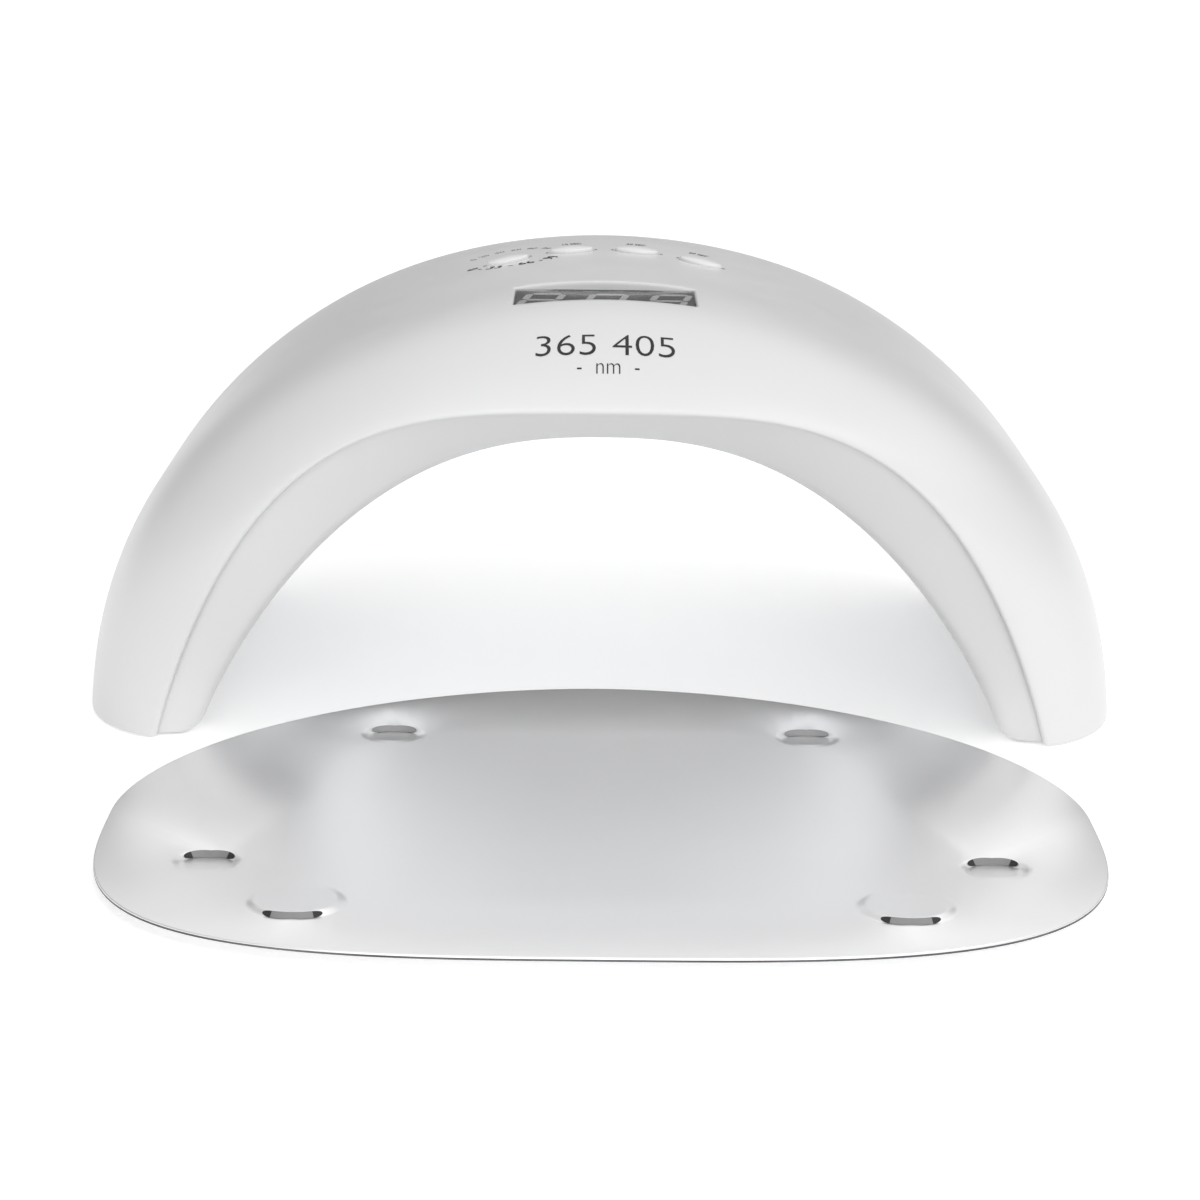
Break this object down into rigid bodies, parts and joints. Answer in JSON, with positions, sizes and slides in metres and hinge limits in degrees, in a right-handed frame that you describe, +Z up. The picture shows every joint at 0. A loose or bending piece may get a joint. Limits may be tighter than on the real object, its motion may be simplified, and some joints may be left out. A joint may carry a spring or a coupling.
{
  "type": "uv curing lamp",
  "caption": "Table lamp that cures resin or gel with ultraviolet light: a white domed arch open at front and back, push buttons and a timer display on top, and a separate steel base tray.",
  "frame": {"origin": "on the floor, in the middle of the whole object: the lamp stands on its feet behind, and the tray lies in front of it", "axes": "+Z up, +X to the right of someone facing the display, -Y towards them"},
  "size_m": [0.231, 0.2716, 0.0966],
  "materials": {
    "white_plastic": "moulded gloss white with a very soft sheen",
    "button_plastic": "moulded gloss white, crowned",
    "silvered_liner": "vacuum silvered plastic",
    "satin_steel": "satin stainless sheet with pressed recesses",
    "display_window": "clear smoked plate",
    "display_face": "dark grey face with pale unlit segments",
    "black_plastic": "matte",
    "circuit_board": "solder mask",
    "led_strip": "white lacquered strip board",
    "lamp_lens": "clear domed lens over a violet chip",
    "lead_sheath": "soft sheath",
    "magnet_plating": "nickel plated",
    "screw_steel": "zinc plated",
    "foot_rubber": "matte grey"
  },
  "bodies": {
    "lamp": {"control_board": "circuit_board", "dc_jack": "black_plastic", "display_lens": "display_window", "display_module": "display_face", "front_led_1": "lamp_lens", "front_led_2": "lamp_lens", "front_led_3": "lamp_lens", "front_led_4": "lamp_lens", "front_led_5": "lamp_lens", "front_led_6": "lamp_lens", "front_led_board": "led_strip", "front_left_foot_pad": "foot_rubber", "front_left_magnet": "magnet_plating", "front_left_screw": "screw_steel", "front_right_foot_pad": "foot_rubber", "front_right_magnet": "magnet_plating", "front_right_screw": "screw_steel", "front_strip_link": "lead_sheath", "hand_sensor": "black_plastic", "inner_cover": "white_plastic", "jack_lead": "lead_sheath", "middle_led_1": "lamp_lens", "middle_led_2": "lamp_lens", "middle_led_3": "lamp_lens", "middle_led_4": "lamp_lens", "middle_led_5": "lamp_lens", "middle_led_6": "lamp_lens", "middle_led_board": "led_strip", "rear_led_1": "lamp_lens", "rear_led_2": "lamp_lens", "rear_led_3": "lamp_lens", "rear_led_4": "lamp_lens", "rear_led_5": "lamp_lens", "rear_led_6": "lamp_lens", "rear_led_board": "led_strip", "rear_left_foot_pad": "foot_rubber", "rear_left_magnet": "magnet_plating", "rear_left_screw": "screw_steel", "rear_right_foot_pad": "foot_rubber", "rear_right_magnet": "magnet_plating", "rear_right_screw": "screw_steel", "rear_strip_link": "lead_sheath", "reflector": "silvered_liner", "strip_lead": "lead_sheath", "switch_10s": "black_plastic", "switch_30s": "black_plastic", "switch_60s": "black_plastic", "switch_99s": "black_plastic", "upper_shell": "white_plastic"},
    "tray": {"base_tray": "satin_steel", "front_left_tray_pad": "foot_rubber", "front_right_tray_pad": "foot_rubber", "rear_left_tray_pad": "foot_rubber", "rear_right_tray_pad": "foot_rubber"},
    "button_10s": {"button_10s": "button_plastic"},
    "button_30s": {"button_30s": "button_plastic"},
    "button_60s": {"button_60s": "button_plastic"},
    "button_99s": {"button_99s": "button_plastic"}
  },
  "joints": [
    {"name": "tray_slide", "type": "slide", "parent": "lamp", "child": "tray", "axis": [0, -1, 0], "range_m": [-0.008, 0.12]},
    {"name": "button_10s_press", "type": "slide", "parent": "lamp", "child": "button_10s", "axis": [0, 0, -1], "range_m": [0, 0.0008], "stiffness_N_per_m": 1500},
    {"name": "button_30s_press", "type": "slide", "parent": "lamp", "child": "button_30s", "axis": [0, 0, -1], "range_m": [0, 0.0008], "stiffness_N_per_m": 1500},
    {"name": "button_60s_press", "type": "slide", "parent": "lamp", "child": "button_60s", "axis": [0, 0, -1], "range_m": [0, 0.0008], "stiffness_N_per_m": 1500},
    {"name": "button_99s_press", "type": "slide", "parent": "lamp", "child": "button_99s", "axis": [0, 0, -1], "range_m": [0, 0.0008], "stiffness_N_per_m": 1500}
  ]
}
